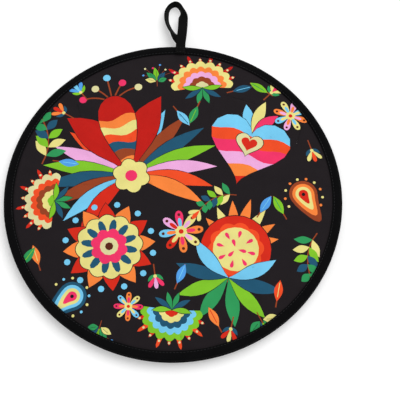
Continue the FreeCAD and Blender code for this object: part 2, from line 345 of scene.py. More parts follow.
def stripes(body, colours, low, high, half_length, at, turn, steps=14):
    """Wave-edged stripes that lie along +x from low to high, cut off by the body's outline."""
    step = (high - low) / len(colours)
    far = high + 2 * step
    for k, ink in enumerate(colours):
        wave = []
        for n in range(steps + 1):
            swing = 0.03 * math.sin(4 * math.pi * n / steps + k)
            wave.append(complex(half_length * (2 * n / steps - 1), low + k * step + swing))
        stamp(wave + [complex(half_length, far), complex(-half_length, far)], ink, at, turn, body)


def berries(at, turn, count, length, spread, colours, size=0.055, bend=0.5):
    """Stalks that fan out round +y, each with a berry."""
    for k in range(count):
        share = k / (count - 1) * 2 - 1 if count > 1 else 0
        way = turn * spin(1, 90 + spread * share)
        route = stalk(length * (1 - 0.18 * (k % 2)), bend * share)
        stamp(line(route, 0.018), "brown", at, way)
        stamp(dot(size), colours[k % len(colours)], at + route[-1] * way, turn)


def leaf_fan(at, turn, count, first, last, length, width, colours, bend=0.25, taper=0.3):
    """Long leaves from one point, longest in the middle of the fan."""
    for k in range(count):
        share = k / (count - 1)
        reach = length * (1 - taper * abs(2 * share - 1))
        curve = math.copysign(bend, last - first) * (share - 0.15)
        way = turn * spin(1, first + (last - first) * share)
        cut_out(petal(reach, width, curve, 1.15), colours[k % len(colours)], at, way)


def tulip(at, turn, colours, leaves):
    """A tall flower in wavy stripes, with wide feathered leaves."""
    foot = at - 0.45j * turn
    berries(at + 0.5j * turn, turn, 5, 0.36, 38, ["cream", "pink", "sky"], 0.045)
    leaf_fan(foot, turn, 8, 64, -22, 1.05, 0.17, leaves, 0.3, 0.18)
    leaf_fan(foot, turn, 8, 116, 202, 1.05, 0.17, leaves[::-1], 0.3, 0.18)
    for side in (-1, 1):
        cut_out(petal(1.02, 0.36, 0.3 * side, 1.3), colours[-1], foot, turn * spin(1, 90 + 15 * side))
    body = cut_out(drop(1.05, 0.6, 24), colours[0], foot, turn * 1j)
    stripes(body, colours[1:], -0.34, 0.42, 0.4, at, turn)
    cut_out(scallops(0.17, 6, 0.25), "yellow", foot, turn)
    stamp(dot(0.07), "pink", foot, turn)


def heart(at, turn, colours):
    """A heart in wavy stripes, with a crown of leaves in its dip."""
    crown = ["lime", "sky", "yellow", "pink", "green"]
    leaf_fan(at + 0.16j * turn, turn, 5, 142, 38, 0.5, 0.14, crown)
    body = cut_out(heart_outline(1.0), colours[0], at, turn)
    stripes(body, colours[1:], -0.42, 0.3, 0.56, at, turn)
    cut_out(heart_outline(0.34), "cream", at + 0.03j * turn, turn)
    stamp(heart_outline(0.2), "red", at + 0.03j * turn, turn)


def rosette(at, turn, colours):
    """Rings of petals and dots round a scalloped eye."""
    for k in range(12):
        cut_out(petal(0.5, 0.2, 0.0, 1.2), colours[k % 2], at, turn * spin(1, 30 * k))
        stamp(dot(0.035, 8), colours[2], at + spin(0.48, 30 * k + 15) * turn, turn)
    cut_out(scallops(0.33, 12, 0.1, 15), colours[3], at, turn)
    for k in range(12):
        stamp(drop(0.31, 0.11, 12), colours[4], at, turn * spin(1, 30 * k + 15))
    stamp(scallops(0.17, 8, 0.2), colours[5], at, turn)
    stamp(dot(0.1), colours[6], at, turn)
    stamp(dot(0.045, 8), "bark", at, turn)


def shell(at, turn, colours):
    """A fan of scalloped layers with rays of drops over it."""
    for k in range(9):
        way = turn * spin(1, 18 + 18 * k)
        stamp(drop(0.98 if k % 2 else 0.86, 0.15, 12), colours[5 + k % 2], at, way)
        stamp(dot(0.03, 8), "cream", at + 0.8 * way, turn)
    for radius, lobes, ink in zip((0.68, 0.54, 0.41, 0.28, 0.15), (9, 9, 7, 5, 3), colours):
        stamp(scallops(radius, lobes, 0.12, -4, 188), ink, at, turn)
    for side in (-1, 1):
        leaf_fan(at, turn, 3, -90 + 20 * side, -90 + 80 * side, 0.52, 0.13,
                 ["green", "teal", "lime"], 0.3, 0.1)


def paisley(at, turn, colours):
    """A curved drop in layers, with a row of dots round its back."""
    for k in range(10):
        place = (0.06 + spin(0.5, 56 + 27 * k)) * turn
        stamp(dot(0.038, 8), colours[1 + k % 2], at + place, turn)
    for k, ink in enumerate(colours):
        outline = []
        for n in range(26):
            angle = 2 * math.pi * n / 26
            pull = max(0.0, math.cos(angle)) ** 3
            outline.append(0.38 * cmath.exp(1j * angle) + pull * complex(0.42, 0.3))
        stamp(outline, ink, at, turn * (1 - 0.22 * k))
    stamp(dot(0.05, 8), "ground", at, turn)


def pomegranate(at, turn):
    """A round fruit with a crown, cut open to show its seeds."""
    leaf_fan(at, turn, 7, 146, 34, 0.72, 0.14, ["orange", "yellow", "orange"], 0.1, 0.2)
    cut_out(dot(0.46, 24), "red", at, turn)
    stamp(scallops(0.33, 10, 0.12), "vermilion", at, turn)
    stamp(dot(0.3, 20), "yellow", at, turn)
    for ring, count in ((0.2, 8), (0.08, 3)):
        for k in range(count):
            way = turn * spin(1, 360 * k / count)
            stamp(drop(0.11, 0.07, 10), "pink", at + (ring - 0.05) * way, way)
    for side in (-1, 1):
        leaf_fan(at - 0.4j * turn, turn, 4, -90 + 24 * side, -90 + 112 * side, 0.72, 0.18,
                 ["green", "lime", "teal", "sky"], 0.3, 0.1)


def branch(at, turn, colours, tip):
    """A bent stem with leaves in pairs and a bud at its tip."""
    route = stalk(1.0, 0.6, 6)
    stamp(line(route, 0.024), "brown", at, turn)
    for k in range(1, 6):
        run = route[k] - route[k - 1]
        for side in (-1, 1):
            way = turn * run / abs(run) * spin(1, 48 * side)
            size = 0.4 - 0.035 * k
            ink = colours[(2 * k + side) % len(colours)]
            stamp(petal(size, 0.15, 0.12 * side), ink, at + route[k] * turn, way)
    way = turn * (route[6] - route[5]) / abs(route[6] - route[5])
    for angle, ink in ((-34, tip[1]), (34, tip[1]), (0, tip[0])):
        stamp(drop(0.3, 0.15, 12), ink, at + route[6] * turn, way * spin(1, angle))


def daisy(at, turn, colours, petals=8):
    """Round-ended petals, each with an eye near its end."""
    for k in range(petals):
        way = turn * spin(1, 360 * k / petals)
        cut_out(drop(0.62, 0.32), colours[k % len(colours)], at, way, 0.0004)
        stamp(drop(0.4, 0.15), colours[(k + 2) % len(colours)], at, way)
        stamp(dot(0.045, 8), "bark", at + 0.5 * way, turn)
    stamp(scallops(0.14, 8, 0.25), "yellow", at, turn)
    stamp(dot(0.07), "red", at, turn)


def spray(at, turn, colours):
    """Five leaves from one foot, with berries between them."""
    berries(at + 0.1j * turn, turn, 6, 0.84, 46, ["pink", "cream", "blue"], 0.05, 0.3)
    for k, angle in enumerate((0, 34, -34, 66, -66)):
        way = turn * spin(1, 90 + angle)
        size = 0.74 - 0.08 * k
        outline = petal(size, 0.25, math.copysign(0.1, angle))
        cut_out(outline, colours[k % len(colours)], at + 0.06 * way, way, 0.0004)
        stamp(line([0.1 + 0j, size * 0.75 + 0j], 0.012), "ground", at + 0.06 * way, way)
    stamp(line([0.12j, -0.24j], 0.03), "brown", at, turn)


def leaf(at, turn, ink, vein):
    stamp(line([0j, 1.3 + 0j], 0.06), "brown", at, turn)
    stamp(petal(1.0, 0.4), ink, at, turn)
    stamp(line([0.12 + 0j, 0.8 + 0j], 0.035), vein, at, turn)


def bud(at, turn, petals, cup):
    """Three petals in a cup of leaves on a short stem."""
    stamp(line([0j, -0.7j], 0.07), "brown", at, turn)
    for angle, ink in ((55, petals[1]), (125, petals[1]), (90, petals[0])):
        stamp(drop(0.72, 0.34, 12), ink, at, turn * spin(1, angle))
    for angle in (28, 152):
        outline = petal(0.55, 0.2, math.copysign(0.2, 90 - angle))
        stamp(outline, cup, at - 0.1j * turn, turn * spin(1, angle))
    stamp(dot(0.1), "yellow", at, turn)


warm = ["yellow", "orange", "brown", "teal", "vermilion", "yellow", "orange", "deep_red"]
wing = ["red", "sky", "brown", "teal", "lime", "lilac", "vermilion", "orange"]
greens = ["lime", "green", "teal", "yellow", "green"]
tulip(-0.048 + 0.05j, spin(0.079, 16), warm, wing)
heart(0.066 + 0.05j, spin(0.074, -14), ["red", "orange", "lilac", "pink", "vermilion", "sky"])
pomegranate(0.058 - 0.05j, spin(0.068, -12))
rosette(-0.054 - 0.052j, spin(0.082, 8), ["orange", "red", "sky", "yellow", "teal", "pink", "cream"])
shell(0.022 + 0.108j, spin(0.038, 6), ["yellow", "orange", "lilac", "brown", "cream", "red", "deep_red"])
shell(-0.106 - 0.01j, spin(0.036, 84),
      ["cream", "vermilion", "brown", "yellow", "lime", "vermilion", "red"])
shell(0.004 - 0.108j, spin(0.036, 178), ["lime", "sky", "teal", "yellow", "red", "red", "vermilion"])
paisley(-0.084 - 0.098j, spin(0.034, 200), ["teal", "sky", "yellow", "pink"])
paisley(0.117 + 0.006j, spin(0.034, -80), ["brown", "orange", "yellow", "red"])
daisy(0.009 - 0.036j, spin(0.032, 10), ["orange", "yellow", "pink", "lilac", "sky", "red"])
daisy(0.104 + 0.084j, spin(0.026, 30), ["sky", "lilac", "yellow", "orange"])
daisy(-0.034 - 0.106j, spin(0.021, 0), ["pink", "yellow", "orange", "sky"])
branch(-0.12 + 0.026j, spin(0.052, 64), greens, ("yellow", "red"))
branch(0.13 - 0.03j, spin(0.046, 232), greens, ("sky", "teal"))
branch(0.057 + 0.001j, spin(0.036, 172), greens, ("vermilion", "yellow"))
spray(-0.02 + 0.112j, spin(0.02, 6), greens)
spray(0.082 - 0.112j, spin(0.03, 212), greens)
spray(-0.058 - 0.124j, spin(0.022, 166), greens)
for place, angle, ink, vein in (
        (0.068 + 0.112j, 200, "teal", "sky"), (0.066 + 0.116j, 330, "lime", "green"),
        (0.012 + 0.07j, 70, "green", "lime"), (0.012 + 0.068j, 130, "sky", "teal"),
        (0.09 + 0.002j, 300, "lime", "green"), (0.088 + 0.002j, 240, "blue", "sky"),
        (-0.122 - 0.052j, 290, "orange", "yellow"), (-0.12 - 0.054j, 235, "green", "lime"),
        (0.036 - 0.104j, 300, "orange", "red"), (0.014 - 0.066j, 250, "blue", "sky"),
        (0.098 - 0.076j, 262, "vermilion", "yellow"), (-0.086 + 0.026j, 172, "blue", "sky")):
    leaf(place, spin(0.019, angle), ink, vein)
for place, angle, petals, cup in (
        (0.086 + 0.107j, 320, ("pink", "yellow"), "green"),
        (-0.104 + 0.078j, 60, ("red", "orange"), "teal"),
        (-0.09 + 0.1j, 40, ("sky", "blue"), "lime"),
        (0.124 + 0.05j, 200, ("vermilion", "yellow"), "teal"),
        (-0.012 - 0.078j, 190, ("lilac", "pink"), "green"),
        (0.056 - 0.122j, 170, ("yellow", "red"), "teal")):
    bud(place, spin(0.016, angle), petals, cup)

# The cloth's own mesh: the stamps cut into a fine net, each triangle in the ink on top of it.
net_pitch = 0.0032
net_row_share = 0.866
disc_sides = 360
edge_rings = [
    0.1475, 0.146, 0.1445, 0.1436, 0.143, 0.1424, 0.1415, 0.1405, 0.139, 0.1375, 0.1358, 0.134, 0.132]
underside_turn = 148


def linear(colour):
    """A colour from 0 to 255 as a shader takes it."""
    whole = [value / 255 for value in colour]
    return [v / 12.92 if v <= 0.04045 else ((v + 0.055) / 1.055) ** 2.4 for v in whole] + [1.0]


def add_piece(name, points, faces, flat, material):
    """A mesh object. flat gives each point's place on the cloth before it was sewn."""
    mesh = bpy.data.meshes.new(name)
    mesh.from_pydata(points, [], faces)
    mesh.validate()
    mesh.update()
    mesh.shade_smooth()
    mesh.materials.append(material)
    place = mesh.attributes.new("flat", "FLOAT_VECTOR", "POINT")
    place.data.foreach_set("vector", np.asarray(flat, np.float32).ravel())
    piece = bpy.data.objects.new(name, mesh)
    bpy.context.collection.objects.link(piece)
    return piece


def polar(x, y):
    return np.hypot(x, y), np.arctan2(y, x)


def printed_disc(name, stamps, outside, thickness):
    """A disc of printed cloth. outside gives its printed face's height, and thickness goes up or down."""
    points = [cmath.rect(trim_radius, 2 * math.pi * n / disc_sides) for n in range(disc_sides)]
    outlines = [list(range(disc_sides))]
    for outline, ink, body in stamps:
        outlines.append(list(range(len(points), len(points) + len(outline))))
        points += outline
    for ring in edge_rings:
        points += [cmath.rect(ring, 2 * math.pi * (n + 0.5) / disc_sides) for n in range(disc_sides)]
    rows = int(trim_radius / net_pitch) + 1
    for row in range(-rows, rows + 1):
        for column in range(-rows, rows + 1):
            point = complex(column + 0.5 * (row % 2), row * net_row_share) * net_pitch
            if abs(point) < edge_rings[-1] - net_pitch / 2:
                points.append(point)
    flat_points = [Vector((p.real, p.imag)) for p in points]
    found, _, triangles, _, _, under = delaunay_2d_cdt(flat_points, [], outlines, 1, 1e-7, True)

    kept = []
    colours = []
    for triangle, covers in zip(triangles, under):
        if 0 not in covers:
            continue
        ink = "ground"
        for number in sorted(covers)[1:]:
            body = stamps[number - 1][2]
            if body is None or body + 1 in covers:
                ink = stamps[number - 1][1]
        kept.append(tuple(triangle))
        colours.append(linear(inks[ink]))

    used = sorted({n for triangle in kept for n in triangle})
    place_of = {n: k for k, n in enumerate(used)}
    kept = [tuple(place_of[n] for n in triangle) for triangle in kept]
    x = np.array([found[n].x for n in used])
    y = np.array([found[n].y for n in used])
    z = outside(*polar(x, y))
    count = len(used)
    points = np.concatenate([np.column_stack([x, y, z]), np.column_stack([x, y, z + thickness])])
    flat = np.concatenate([np.column_stack([x, y, 0 * x]), np.column_stack([x, y, 0 * x])])
    seen = {(a, b) for t in kept for a, b in zip(t, t[1:] + t[:1])}
    border = [(a, b) for a, b in seen if (b, a) not in seen]
    up = [t if thickness < 0 else t[::-1] for t in kept]
    faces = up + [tuple(count + n for n in t[::-1]) for t in up]
    border = [(a, b) if thickness < 0 else (b, a) for a, b in sorted(border)]
    faces += [(b, a, a + count, b + count) for a, b in border]
    piece = add_piece(name, points.tolist(), faces, flat, printed_cotton)
    colours = colours + colours + [linear(inks["ground"])] * len(border)
    tint = piece.data.color_attributes.new("ink", "FLOAT_COLOR", "CORNER")
    corners = [colours[polygon.index] for polygon in piece.data.polygons for _ in polygon.vertices]
    tint.data.foreach_set("color", np.array(corners, np.float32).ravel())
    return piece


# Plain weave, as a height and a tone that change from thread to thread.
thread_height = 0.3
slub_scale = 900.0
patch_scale = 60.0
weave_roughness = 0.08
sheen = 0.02
sheen_roughness = 0.5
weave = bpy.data.node_groups.new("plain weave", "ShaderNodeTree")
for socket, kind in (("Place", "NodeSocketVector"), ("Threads per metre", "NodeSocketFloat")):
    weave.interface.new_socket(socket, in_out="INPUT", socket_type=kind)
for socket in ("Height", "Tone"):
    weave.interface.new_socket(socket, in_out="OUTPUT", socket_type="NodeSocketFloat")


def add_node(tree, kind, inputs=(), **settings):
    """A shader node with its settings, and its inputs as values or as the sockets that feed them."""
    node = tree.nodes.new("ShaderNode" + kind)
    for key, value in settings.items():
        setattr(node, key, value)
    for key, value in dict(inputs).items():
        if isinstance(value, bpy.types.NodeSocket):
            tree.links.new(value, node.inputs[key])
        else:
            node.inputs[key].default_value = value
    return node


def maths(tree, operation, first, second=0.5):
    return add_node(tree, "Math", {0: first, 1: second}, operation=operation).outputs[0]


entry = weave.nodes.new("NodeGroupInput")
leaving = weave.nodes.new("NodeGroupOutput")
apart = add_node(weave, "SeparateXYZ", {0: entry.outputs["Place"]})
turns = maths(weave, "MULTIPLY", entry.outputs["Threads per metre"], 2 * math.pi)
warp = maths(weave, "SINE", maths(weave, "MULTIPLY", apart.outputs["X"], turns))
weft = maths(weave, "SINE", maths(weave, "MULTIPLY", apart.outputs["Y"], turns))
slub = add_node(weave, "TexNoise", {"Vector": entry.outputs["Place"], "Scale": slub_scale, "Detail": 2.0})
over = maths(weave, "MULTIPLY", maths(weave, "MULTIPLY", warp, weft), thread_height)
height = maths(weave, "ADD", over, slub.outputs["Fac"])
patch = add_node(weave, "TexNoise", {"Vector": entry.outputs["Place"], "Scale": patch_scale, "Detail": 4.0})
weave.links.new(height, leaving.inputs["Height"])
weave.links.new(patch.outputs["Fac"], leaving.inputs["Tone"])


def new_material(name):
    """A material, its nodes, its shader, and the place on the cloth."""
    material = bpy.data.materials.new(name)
    material.use_nodes = True
    tree = material.node_tree
    place = add_node(tree, "Attribute", attribute_name="flat").outputs["Vector"]
    return material, tree, tree.nodes["Principled BSDF"], place


def cloth_material(name, threads, relief, base=None, roughness=0.85, gloss=0.12, shade=(0.94, 1.06)):
    """Woven cloth. base is a colour, or None for the inks stamped on the mesh."""
    material, tree, surface, place = new_material(name)
    woven = tree.nodes.new("ShaderNodeGroup")
    woven.node_tree = weave
    tree.links.new(place, woven.inputs["Place"])
    woven.inputs["Threads per metre"].default_value = threads
    if base is None:
        base = add_node(tree, "Attribute", attribute_name="ink").outputs["Color"]
    else:
        base = base[:3]
    tone = add_node(tree, "MapRange", {
        "Value": woven.outputs["Tone"], "From Min": 0.3, "From Max": 0.7,
        "To Min": shade[0], "To Max": shade[1],
    }).outputs["Result"]
    tinted = add_node(tree, "VectorMath", {0: base, 1: tone}, operation="MULTIPLY").outputs["Vector"]
    tree.links.new(tinted, surface.inputs["Base Color"])
    rough = add_node(tree, "MapRange", {
        "Value": woven.outputs["Height"], "To Min": roughness + weave_roughness,
        "To Max": roughness - weave_roughness,
    }).outputs["Result"]
    tree.links.new(rough, surface.inputs["Roughness"])
    bump = add_node(tree, "Bump", {"Height": woven.outputs["Height"], "Distance": relief})
    tree.links.new(bump.outputs["Normal"], surface.inputs["Normal"])
    surface.inputs["Specular IOR Level"].default_value = gloss
    surface.inputs["Sheen Weight"].default_value = sheen
    surface.inputs["Sheen Roughness"].default_value = sheen_roughness
    return material


printed_cotton = cloth_material("printed cotton", threads=1700, relief=0.00006)
turned_round = []
for outline, ink, body in cloth_print:
    turned_round.append(([point * spin(1, underside_turn) for point in outline], ink, body))
lower_cover = printed_disc("lower_cover_disc", turned_round, underside, cover_cloth)
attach(lower_cover, "pouch")
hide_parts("lower_cover")

# Lower wadding
# The padding of the bottom disc is one round of needled polyester, cut to the same outline as the cloth
# and held flat between cover and lining by the binding.
ply_gap = 0.0001
lining_cloth = 0.0005
lip_recess = 0.0011
flat_floor_radius = 0.088
crown_radius = 0.137
calm_zone = 0.012
lining_relief_share = 0.35
floor_seed = 21.0
floor_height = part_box("lower_lining")[0].z + lining_cloth
lower_seam = seam_height - ply_gap / 2
layer_sides = 240
layer_ring_steps = 34
layer_crowding = 0.8
layer_rings = [0.0] + [trim_radius * (n / layer_ring_steps) ** layer_crowding for n in range(1, 31)]
layer_rings += [0.1385, 0.141, hem_radius, 0.1455, trim_radius]
wadding_shade = (196, 194, 186)
wadding_light = (236, 235, 229)


def lip_step(radius, angle):
    """How far a lining stands back at the mouth, to make room for the lip's binding."""
    return lip_recess * mouth_share(angle) * eased((radius - crown_radius) / (hem_radius - crown_radius))


def lining_relief(radius, angle, seed):
    """The padding's relief, fainter under a lining and gone at its edge."""
    calm = eased((crown_radius - radius) / calm_zone)
    return lining_relief_share * calm * cloth_detail(radius, angle, seed)


def pocket_floor(radius, angle):
    share = np.clip((radius - flat_floor_radius) / (crown_radius - flat_floor_radius), 0, 1)
    rise = (lower_seam - floor_height) * share**2
    return floor_height + rise + lining_relief(radius, angle, floor_seed) - lip_step(radius, angle)


def raised(face, distance):
    """A face of the same form, higher by a distance, or lower where it is negative."""
    return lambda radius, angle: face(radius, angle) + distance


def layered_disc(name, bottom, top, material):
    """A closed disc between two faces given as heights."""
    turns = 2 * math.pi * np.arange(layer_sides) / layer_sides
    radius = np.concatenate([[0.0], np.repeat(layer_rings[1:], layer_sides)])
    angle = np.concatenate([[0.0], np.tile(turns, len(layer_rings) - 1)])
    x = radius * np.cos(angle)
    y = radius * np.sin(angle)
    count = len(x)
    points = [np.column_stack([x, y, face(radius, angle)]) for face in (top, bottom)]
    faces = []
    for ring in range(len(layer_rings) - 1):
        for n in range(layer_sides):
            outer = 1 + ring * layer_sides + n
            beside = 1 + ring * layer_sides + (n + 1) % layer_sides
            if ring == 0:
                faces.append((0, outer, beside))
            else:
                faces.append((outer - layer_sides, outer, beside, beside - layer_sides))
    faces += [tuple(count + n for n in face[::-1]) for face in faces]
    last = count - layer_sides
    for n in range(layer_sides):
        a = last + n
        b = last + (n + 1) % layer_sides
        faces.append((b, a, a + count, b + count))
    flat = np.column_stack([x, y, 0 * x])
    return add_piece(name, np.concatenate(points).tolist(), faces, np.concatenate([flat, flat]), material)


def fibre_material(name, fibres, dark, light, relief, roughness, gloss):
    """Loose or spun fibre. fibres are the settings of the noise that mottles and roughens it."""
    material, tree, surface, place = new_material(name)
    mottle = add_node(tree, "TexNoise", {"Vector": place, **fibres})
    ramp = add_node(tree, "ValToRGB", {"Fac": mottle.outputs["Fac"]})
    ramp.color_ramp.elements[0].color = linear(dark)
    ramp.color_ramp.elements[1].color = linear(light)
    tree.links.new(ramp.outputs["Color"], surface.inputs["Base Color"])
    bump = add_node(tree, "Bump", {"Height": mottle.outputs["Fac"], "Distance": relief})
    tree.links.new(bump.outputs["Normal"], surface.inputs["Normal"])
    surface.inputs["Roughness"].default_value = roughness
    surface.inputs["Specular IOR Level"].default_value = gloss
    return material


# Needled fibre is off-white and matt, with a lumpy felted surface.
wadding_noise = {"Scale": 420.0, "Detail": 8.0, "Roughness": 0.7}
wadding_fibre = fibre_material("wadding", wadding_noise, wadding_shade, wadding_light,
                               relief=0.0006, roughness=1.0, gloss=0.5)
lower_wadding = layered_disc("lower_wadding_disc", raised(underside, cover_cloth + ply_gap),
                             raised(pocket_floor, -lining_cloth - ply_gap), wadding_fibre)
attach(lower_wadding, "pouch")
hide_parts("lower_wadding")

# Lower lining
# The floor of the pocket is a disc of black cotton with white polka dots in rows. It is laid over the
# wadding and sewn in with it.
dot_pitch = 0.0075
dot_radius = 0.0019
dot_softness = 0.02
lining_black = (16, 15, 17)
dot_white = (236, 234, 230)


def dotted_material():
    """The woven black of the lining, with soft-edged white dots printed on it."""
    material = cloth_material("dotted lining", threads=1900, relief=0.00005, base=linear(lining_black))
    tree = material.node_tree
    surface = tree.nodes["Principled BSDF"]
    ground = surface.inputs["Base Color"].links[0].from_socket
    place = add_node(tree, "Attribute", attribute_name="flat").outputs["Vector"]
    apart = add_node(tree, "SeparateXYZ", {0: place})
    offsets = []
    for axis in ("X", "Y"):
        cell = maths(tree, "FRACT", maths(tree, "MULTIPLY", apart.outputs[axis], 1 / dot_pitch))
        offsets.append(maths(tree, "SUBTRACT", cell, 0.5))
    squares = [maths(tree, "MULTIPLY", offset, offset) for offset in offsets]
    away = maths(tree, "SQRT", maths(tree, "ADD", *squares))
    edge = dot_radius / dot_pitch
    inked = add_node(tree, "MapRange", {
        "Value": away, "From Min": edge - dot_softness, "From Max": edge + dot_softness,
        "To Min": 1.0, "To Max": 0.0,
    }).outputs["Result"]
    mix = add_node(tree, "Mix", {0: inked, 6: ground, 7: linear(dot_white)}, data_type="RGBA")
    tree.links.new(mix.outputs[2], surface.inputs["Base Color"])
    return material


dotted_cotton = dotted_material()
lower_lining = layered_disc("lower_lining_disc", raised(pocket_floor, -lining_cloth), pocket_floor,
                            dotted_cotton)
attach(lower_lining, "pouch")
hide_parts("lower_lining")

# Lower mouth binding and its stitching
# The lower lip is bound with black bias tape, folded double, laid over the three layers and sewn through
# with one line of black thread.
stitch_inset = 0.0016
stitch_radius = hem_radius + stitch_inset
stitch_pitch = 0.003
stitch_length = 0.0024
stitch_dive = 0.0002
stitch_sink = 0.00006
stitch_slant = 0.05
thread_radius = 0.00017
tape_spacing = 0.0006
hem_step = 0.00035
hem_zone = 0.0012
hem_wave = 0.00016
groove_width = 0.00055
groove_depth = 0.0001
puff_height = 0.00012
wrinkle_height = 0.00006
hem_waves = 16
wrinkles_round = 55
wrinkles_across = 300
wrinkle_change = 240
lower_lip_seed = 31.0
tape_black = (5, 5, 6)
thread_shade = (14, 14, 15)
thread_light = (38, 38, 41)
lower_lip_low, lower_lip_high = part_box("lower_mouth_binding")
mouth_start = -math.pi / 2 - mouth_half_angle
mouth_end = -math.pi / 2 + mouth_half_angle


def facing(half_turns):
    return math.cos(math.pi * half_turns), math.sin(math.pi * half_turns)


def binding_section(bottom, top):
    """The tape's outline across the edge: radius, height, and the way its skin faces."""
    round_radius = (top - bottom) / 2
    inner = round_radius - binding_cloth
    middle = (top + bottom) / 2
    fold_middle = rim_radius - round_radius
    hem_round = binding_cloth / 2
    hem_middle = hem_radius + hem_round
    leg = [hem_middle + hem_step * n for n in range(12)]
    leg += [leg[-1] + (fold_middle - leg[-1]) * share for share in (0.34, 0.67)]
    fold_steps = 14

    section = [(r, bottom, 0.0, -1.0) for r in leg]
    for n in range(fold_steps + 1):
        c, s = facing(n / fold_steps - 0.5)
        section.append((fold_middle + round_radius * c, middle + round_radius * s, c, s))
    section += [(r, top, 0.0, 1.0) for r in leg[::-1]]
    hem = []
    for n in (1, 2, 3):
        c, s = facing(0.5 + n / 4)
        hem.append((hem_middle + hem_round * c, hem_round * s, c, s))
    section += [(r, top - hem_round + z, c, s) for r, z, c, s in hem]
    section.append((hem_middle, middle + inner, 0.0, 0.0))
    for n in range(7):
        c, s = facing(0.5 - n / 6)
        section.append((fold_middle + inner * c, middle + inner * s, 0.0, 0.0))
    section.append((hem_middle, middle - inner, 0.0, 0.0))
    section += [(r, bottom + hem_round + z, c, s) for r, z, c, s in hem]
    return section


def tube_faces(rings, sides, first=0):
    """The faces of a tube through rings of points, with both its ends closed."""
    faces = []
    for ring in range(rings - 1):
        for side in range(sides):
            a = first + ring * sides + side
            b = first + ring * sides + (side + 1) % sides
            faces.append((a, a + sides, b + sides, b))
    faces.append(tuple(first + side for side in range(sides)))
    faces.append(tuple(first + (rings - 1) * sides + side for side in reversed(range(sides))))
    return faces


def bound_edge(name, start, end, bottom, top, seed, proud=0.0):
    """Bias tape round the pouch's edge from one angle to another, with its ends closed."""
    section = np.array(binding_section(bottom, top))
    tube_reach = rim_radius - (top - bottom) / 2 - stitch_radius
    steps = int((end - start) * rim_radius / tape_spacing)
    points = []
    flat = []
    along_section = np.concatenate([[0], np.cumsum(np.hypot(*np.diff(section[:, :2], axis=0).T))])
    for step in range(steps + 1):
        a = start + (end - start) * step / steps
        c, s = math.cos(a), math.sin(a)
        arc = a * rim_radius
        at_stitch = 0.5 + 0.5 * math.cos(2 * math.pi * arc / stitch_pitch)
        wave = hem_wave * (1 + noise.noise((c * hem_waves, s * hem_waves, seed)))
        for (r, z, nr, nz), width in zip(section, along_section):
            out = 0.0
            if abs(nr) + abs(nz) > 0:
                groove = math.exp(-(((r - stitch_radius) / groove_width) ** 2)) if abs(nz) == 1.0 else 0.0
                puff = math.sin(math.pi * min(max((r - stitch_radius) / tube_reach, 0), 1))
                round_it = c * wrinkles_round + width * wrinkles_across
                wrinkle = noise.noise((round_it, s * wrinkles_round, seed + width * wrinkle_change))
                pulled = groove_depth * groove * (1 + at_stitch)
                out = proud + puff_height * abs(nz) * puff - pulled + wrinkle_height * wrinkle
            near_hem = 1 - float(eased((r - hem_radius) / hem_zone))
            r = r + nr * out + near_hem * wave
            points.append((r * c, r * s, z + nz * out))
            flat.append((arc, width, 0.0))
    return add_piece(name, points, tube_faces(steps + 1, len(section)), flat, bias_tape)


def add_stitch(points, faces, middle, along, up):
    """One stitch: a short thread that bows up out of the cloth and dives back at both ends."""
    sides = 7
    rings = 7
    across = along.cross(up)
    first = len(points)
    for ring in range(rings):
        share = 2 * ring / (rings - 1) - 1
        thick = thread_radius * max(0.25, (1 - abs(share) ** 3) ** 0.5)
        centre = middle + along * (share * stitch_length / 2) - up * (stitch_dive * share**2)
        for side in range(sides):
            a = 2 * math.pi * side / sides
            points.append(centre + (across * math.cos(a) + up * math.sin(a)) * thick)
    faces += tube_faces(rings, sides, first)


def add_thread(name, points, faces):
    points = [tuple(point) for point in points]
    return add_piece(name, points, faces, points, thread)


def stitch_line(name, start, end, bottom, top):
    """The stitches of a binding, on both its faces."""
    points = []
    faces = []
    count = int((end - start) * stitch_radius / stitch_pitch)
    upper_face = (top - stitch_sink, Vector((0, 0, 1)))
    lower_face = (bottom + stitch_sink, Vector((0, 0, -1)))
    for height, up in (upper_face, lower_face):
        for n in range(count):
            a = start + (end - start) * (n + 0.5) / count
            middle = Vector((stitch_radius * math.cos(a), stitch_radius * math.sin(a), height))
            slant = stitch_slant * noise.noise((n * 1.7, height * 900, 0.0))
            along = Vector((-math.sin(a + slant), math.cos(a + slant), 0))
            add_stitch(points, faces, middle, along, up)
    return add_thread(name, points, faces)


bias_tape = cloth_material("bias tape", threads=2300, relief=0.00006, base=linear(tape_black),
                           gloss=0.05, shade=(0.7, 1.4))

# Spun polyester thread is twisted and a little shiny.
thread_noise = {"Scale": 2500.0, "Detail": 2.0}
thread = fibre_material("thread", thread_noise, thread_shade, thread_light,
                        relief=0.00005, roughness=0.55, gloss=0.25)
lower_lip = bound_edge("lower_mouth_tape", mouth_start, mouth_end, lower_lip_low.z, lower_lip_high.z,
                       lower_lip_seed)
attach(lower_lip, "pouch")
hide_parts("lower_mouth_binding")
lower_lip_thread = stitch_line("lower_mouth_thread", mouth_start, mouth_end,
                               lower_lip_low.z, lower_lip_high.z)
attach(lower_lip_thread, "pouch")
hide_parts("lower_mouth_stitching")

# Upper lining
# The ceiling of the pocket is a second dotted disc, in one piece.
ceiling_rise = 0.008
ceiling_seed = 43.0
upper_seam = seam_height + ply_gap / 2


def ceiling(radius, angle):
    rise = ceiling_rise * np.clip(1 - (radius / crown_radius) ** 2, 0, 1)
    return upper_seam + rise - lining_relief(radius, angle, ceiling_seed) + lip_step(radius, angle)


upper_lining = layered_disc("upper_lining_disc", ceiling, raised(ceiling, lining_cloth), dotted_cotton)
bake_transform(upper_lining)
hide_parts("upper_lining_back", "upper_lining_flap")

# Upper cover
# The top is a disc of the same printed cotton, domed over the wadding and pressed flat at its edge,
# where the binding draws it into puckers.
pressed_top = rim_high.z - binding_cloth - binding_ease
top_seed = 0.0


